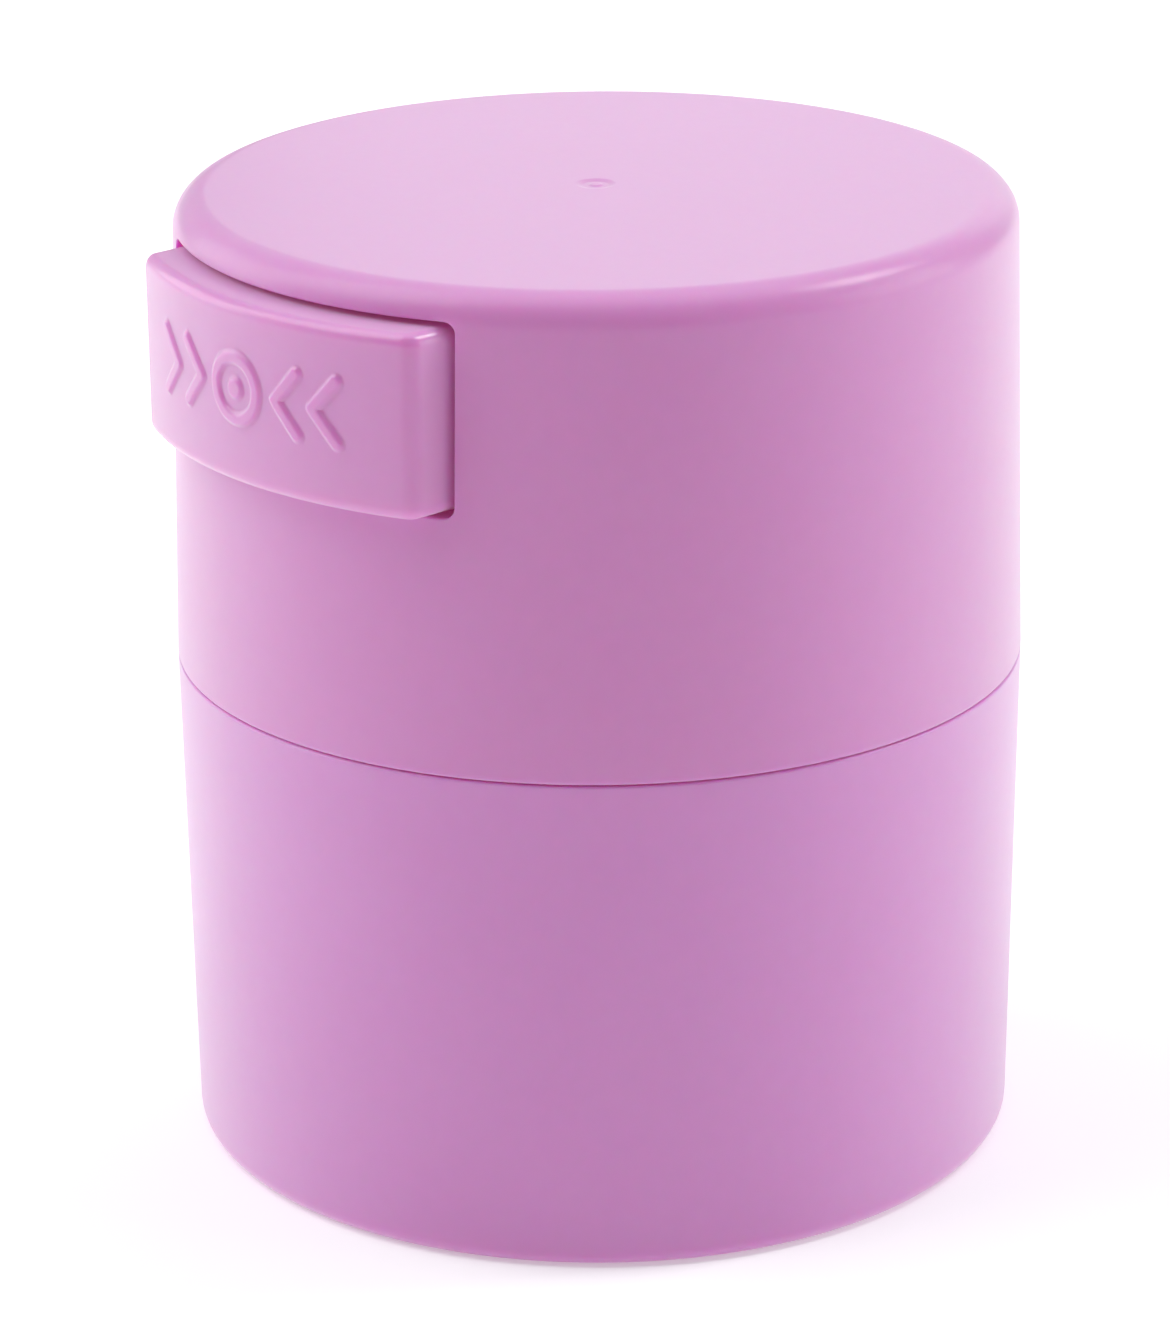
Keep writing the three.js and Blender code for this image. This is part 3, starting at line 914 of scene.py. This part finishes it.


def pink_plastic(name, rough=0.30, grain=1.0, base=PINK, shine=0.26):
    """Moulded pink ABS: very faint pigment clouding, a satin spark-eroded grain and slight flow waviness.
    The plastic lets a little light in, and a faint magenta glow painted on all of it makes the shadows in its gaps deep
    pink."""
    mat, tree, bsdf = new_material(name)
    coord = object_coord(tree)
    cloud = noise(tree, coord, 60.0, 2.0, 0.5)
    speck = noise(tree, coord, 750.0, 1.0, 0.5)
    wave = noise(tree, coord, 140.0, 1.0, 0.4)
    grain_n = noise(tree, coord, 1600.0, 1.0, 0.5)
    dark = tuple(c * k for c, k in zip(base, (0.992, 0.98, 0.988)))
    light = tuple(c * k for c, k in zip(base, (1.008, 1.02, 1.012)))
    colour = mix_colour(tree, remap(tree, cloud, 0.0, 1.0, 0.3, 0.7), dark, light)
    fleck = mix_colour(tree, remap(tree, speck, 0.0, 1.0, 0.25, 0.75), (0.992, 0.985, 0.99), (1.008, 1.015, 1.01))
    colour = mix_colour(tree, 1.0, colour, fleck, "MULTIPLY")
    tree.links.new(colour, bsdf.inputs["Base Color"])
    r = math_node(
        tree,
        "ADD",
        remap(tree, cloud, rough - 0.006, rough + 0.006, 0.3, 0.7),
        remap(tree, grain_n, -0.012, 0.012, 0.3, 0.7),
    )
    tree.links.new(r, bsdf.inputs["Roughness"])
    bsdf.inputs["IOR"].default_value = 1.53
    bsdf.inputs["Specular IOR Level"].default_value = shine
    bsdf.inputs["Sheen Weight"].default_value = 0.48
    bsdf.inputs["Sheen Roughness"].default_value = 0.5
    # painted glow: a faint magenta emission on all of the pink plastic stands in for light spread inside the walls, so
    # the deep gaps show pink instead of black
    bsdf.inputs["Emission Color"].default_value = (1.0, 0.12, 0.4, 1.0)
    bsdf.inputs["Emission Strength"].default_value = 0.07
    mat.cycles.emission_sampling = "NONE"
    bsdf.inputs["Subsurface Weight"].default_value = 0.9
    bsdf.inputs["Subsurface Radius"].default_value = (1.0, 0.2, 0.5)
    bsdf.inputs["Subsurface Scale"].default_value = 0.0024
    bump(tree, bsdf, [(wave, 0.25, 0.00001), (grain_n, 0.2 * grain, 0.000004)])
    return mat


def silicone(name):
    mat, tree, bsdf = new_material(name)
    coord = object_coord(tree)
    cloud = noise(tree, coord, 260.0, 3.0, 0.55)
    fine = noise(tree, coord, 5200.0, 2.0, 0.6)
    colour = mix_colour(tree, remap(tree, cloud, 0.0, 1.0, 0.3, 0.7), (0.74, 0.71, 0.68), (0.82, 0.8, 0.77))
    tree.links.new(colour, bsdf.inputs["Base Color"])
    tree.links.new(remap(tree, fine, 0.42, 0.56), bsdf.inputs["Roughness"])
    bsdf.inputs["IOR"].default_value = 1.42
    bsdf.inputs["Sheen Weight"].default_value = 0.12
    bsdf.inputs["Sheen Roughness"].default_value = 0.5
    bsdf.inputs["Subsurface Weight"].default_value = 0.25
    bsdf.inputs["Subsurface Radius"].default_value = (1.0, 0.9, 0.8)
    bsdf.inputs["Subsurface Scale"].default_value = 0.002
    bump(tree, bsdf, [(fine, 0.3, 0.000008)])
    return mat


def acetal(name):
    mat, tree, bsdf = new_material(name)
    coord = object_coord(tree)
    cloud = noise(tree, coord, 400.0, 2.0)
    fine = noise(tree, coord, 6000.0, 2.0)
    colour = mix_colour(tree, remap(tree, cloud, 0.0, 1.0, 0.3, 0.7), (0.8, 0.79, 0.75), (0.87, 0.86, 0.83))
    tree.links.new(colour, bsdf.inputs["Base Color"])
    tree.links.new(remap(tree, fine, 0.34, 0.46), bsdf.inputs["Roughness"])
    bsdf.inputs["IOR"].default_value = 1.48
    bump(tree, bsdf, [(fine, 0.3, 0.000006)])
    return mat


def spring_steel(name):
    mat, tree, bsdf = new_material(name)
    coord = object_coord(tree)
    cloud = noise(tree, coord, 900.0, 3.0)
    fine = noise(tree, coord, 9000.0, 2.0)
    colour = mix_colour(tree, remap(tree, cloud, 0.0, 1.0, 0.3, 0.7), (0.50, 0.50, 0.50), (0.64, 0.64, 0.65))
    tree.links.new(colour, bsdf.inputs["Base Color"])
    bsdf.inputs["Metallic"].default_value = 1.0
    tree.links.new(remap(tree, fine, 0.29, 0.38), bsdf.inputs["Roughness"])
    bump(tree, bsdf, [(fine, 0.25, 0.000005)])
    return mat


# ---------------------------------------------------------------- pieces on their bodies
PIECES = [
    (pot_shell, "pot", "pot_shell", "pot_plastic", pink_plastic("pot_abs")),
    (inner_cup, "pot", "inner_cup", "inner_cup_plastic", pink_plastic("cup_abs", 0.24, 0.5)),
    # the cap, its liner and the button take the rosier pink: painted warmer light on the upper part
    (cap_shell, "cap", "cap_shell", "cap_plastic", pink_plastic("cap_abs", base=PINK_PAINTED_WARM_LIGHT)),
    (cap_liner, "cap", "cap_liner", "liner_plastic", pink_plastic("liner_abs", 0.34, 0.8, PINK_PAINTED_WARM_LIGHT)),
    (piston_seal, "seal", "piston_seal", "seal_silicone", silicone("seal_silicone")),
    (press_button, "button", "press_button", "button_plastic", pink_plastic("button_abs", 0.24, 0.8, PINK_PAINTED_WARM_LIGHT, 0.42)),
    (valve_stem, "button", "valve_stem", "stem_acetal", acetal("stem_acetal")),
    (vent_stopper, "button", "vent_stopper", "stopper_silicone", silicone("stopper_silicone")),
    (return_spring, "cap", "return_spring", "spring_steel", spring_steel("spring_wire")),
]
for build, body, node, slot, material in PIECES:
    piece = build()
    piece.data.materials.clear()
    piece.data.materials.append(material)
    for poly in piece.data.polygons:
        poly.material_index = 0
    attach(piece, body)
    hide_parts(node)
    if node == "return_spring":
        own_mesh(piece)

# ---------------------------------------------------------------- floor
GLOW_NEAR, GLOW_FAR, GLOW_RIM = 0.38, 0.55, 0.8
bm = bmesh.new()
bmesh.ops.create_grid(bm, x_segments=8, y_segments=8, size=3.0)
floor_mesh = bpy.data.meshes.new("studio_floor")
bm.to_mesh(floor_mesh)
bm.free()
floor = bpy.data.objects.new("studio_floor", floor_mesh)
bpy.context.scene.collection.objects.link(floor)
floor.location.z = -0.00002
floor_mat, floor_tree, floor_bsdf = new_material("studio_floor")
floor_bsdf.inputs["Base Color"].default_value = (0.86, 0.86, 0.86, 1)
floor_bsdf.inputs["Roughness"].default_value = 0.75
floor_bsdf.inputs["Specular IOR Level"].default_value = 0.2
floor_bsdf.inputs["Emission Color"].default_value = (1, 1, 1, 1)
# a white studio sweep: the floor glows a little under the object and more further out, where the lights don't reach
floor_far = floor_tree.nodes.new("ShaderNodeVectorMath")
floor_far.operation = "LENGTH"
floor_tree.links.new(object_coord(floor_tree), floor_far.inputs[0])
floor_glow = floor_tree.nodes.new("ShaderNodeMapRange")
floor_glow.interpolation_type = "SMOOTHSTEP"
floor_glow.inputs["From Min"].default_value = 0.12
floor_glow.inputs["From Max"].default_value = 0.6
floor_glow.inputs["To Min"].default_value = GLOW_NEAR
floor_glow.inputs["To Max"].default_value = GLOW_FAR
floor_tree.links.new(floor_far.outputs["Value"], floor_glow.inputs["Value"])
floor_rim = floor_tree.nodes.new("ShaderNodeMapRange")
floor_rim.interpolation_type = "SMOOTHSTEP"
floor_rim.inputs["From Min"].default_value = 0.5
floor_rim.inputs["From Max"].default_value = 1.1
floor_rim.inputs["To Min"].default_value = 0.0
floor_rim.inputs["To Max"].default_value = GLOW_RIM
floor_tree.links.new(floor_far.outputs["Value"], floor_rim.inputs["Value"])
floor_sum = math_node(floor_tree, "ADD", floor_glow.outputs["Result"], floor_rim.outputs["Result"])
floor_tree.links.new(floor_sum, floor_bsdf.inputs["Emission Strength"])
floor_mesh.materials.append(floor_mat)

# ---------------------------------------------------------------- camera
TURN = Matrix.Rotation(math.radians(48.3), 3, "Z")
camera_data = bpy.data.cameras.new("camera")
camera_data.lens = 135.58
camera_data.sensor_width = 36.0
camera_data.sensor_fit = "AUTO"
camera_data.clip_start, camera_data.clip_end = 0.01, 20.0
camera = bpy.data.objects.new("camera", camera_data)
bpy.context.scene.collection.objects.link(camera)
right = TURN @ Vector((0.99996187, -0.0000812, -0.00873236))
up = TURN @ Vector((0.00823346, 0.34203563, 0.93965091))
forward = TURN @ Vector((-0.00291045, 0.93968698, -0.34202325))
place = TURN @ Vector((0.0, -0.36205, 0.16680))
camera.matrix_world = Matrix(
    (
        (right.x, up.x, -forward.x, place.x),
        (right.y, up.y, -forward.y, place.y),
        (right.z, up.z, -forward.z, place.z),
        (0, 0, 0, 1),
    )
)
bpy.context.scene.camera = camera

# ---------------------------------------------------------------- light
# Soft boxes round the object: name, azimuth from the camera (clockwise seen from above), elevation, distance, size, strength.
AIM = Vector((0, 0, 0.036))
COOL = (0.95, 0.975, 1.06)  # the boxes behind and above are a touch cooler
BOXES = [
    ("left_high", -90, 50, 1.0, (0.75, 0.65), 7.0, (1, 1, 1)),
    ("left", -90, 18, 1.0, (0.75, 0.5), 0.95, (1, 1, 1)),
    ("left_back", -115, 18, 1.0, (0.75, 0.5), 4.1, (1, 1, 1)),
    ("right", 90, 18, 1.0, (0.75, 0.5), 5.15, (1, 1, 1)),
    ("right_key", 105, 50, 1.0, (0.27, 0.25), 4.6, (1, 1, 1)),
    ("back_right", 165, 18, 1.0, (0.75, 0.5), 1.5, COOL),
    ("back_high", 180, 50, 1.0, (0.75, 0.65), 0.8, COOL),
    ("top", 180, 85, 1.0, (0.9, 0.9), 5.9, COOL),
]
for name, az, el, dist, size, watts, tint in BOXES:
    light = bpy.data.lights.new("soft_" + name, "AREA")
    light.shape = "RECTANGLE"
    light.size, light.size_y = size
    light.energy = watts
    light.color = tint
    ob = bpy.data.objects.new("soft_" + name, light)
    bpy.context.scene.collection.objects.link(ob)
    a, e = math.radians(az), math.radians(el)
    direction = TURN @ Vector((math.sin(a) * math.cos(e), -math.cos(a) * math.cos(e), math.sin(e)))
    ob.location = AIM + direction * dist
    ob.rotation_mode = "QUATERNION"
    ob.rotation_quaternion = (-direction).to_track_quat("-Z", "Y")
    ob.visible_camera = False
world = bpy.data.worlds.new("studio")
world.use_nodes = True
world.node_tree.nodes["Background"].inputs["Color"].default_value = (1, 1, 1, 1)
world.node_tree.nodes["Background"].inputs["Strength"].default_value = 0.0
bpy.context.scene.world = world
bpy.context.scene.view_settings.view_transform = "Standard"
bpy.context.scene.view_settings.look = "None"
# a gentle shoulder in the tones, y = x / (1 + 0.3 x), so the pale sides keep their colour
SHOULDER = 0.3
tones = bpy.context.scene.view_settings
tones.use_curve_mapping = True
tones.curve_mapping.use_clip = False
white = 1.38
curve = tones.curve_mapping.curves[3]
stops = [0.0, 0.1, 0.25, 0.5, 0.75, 1.0, 1.18, white]
while len(curve.points) < len(stops):
    curve.points.new(0.5, 0.5)
for point, x in zip(curve.points, stops):
    point.location = (x, 1.0 if x == white else x / (1 + SHOULDER * x))
    point.handle_type = "AUTO"
tones.curve_mapping.update()
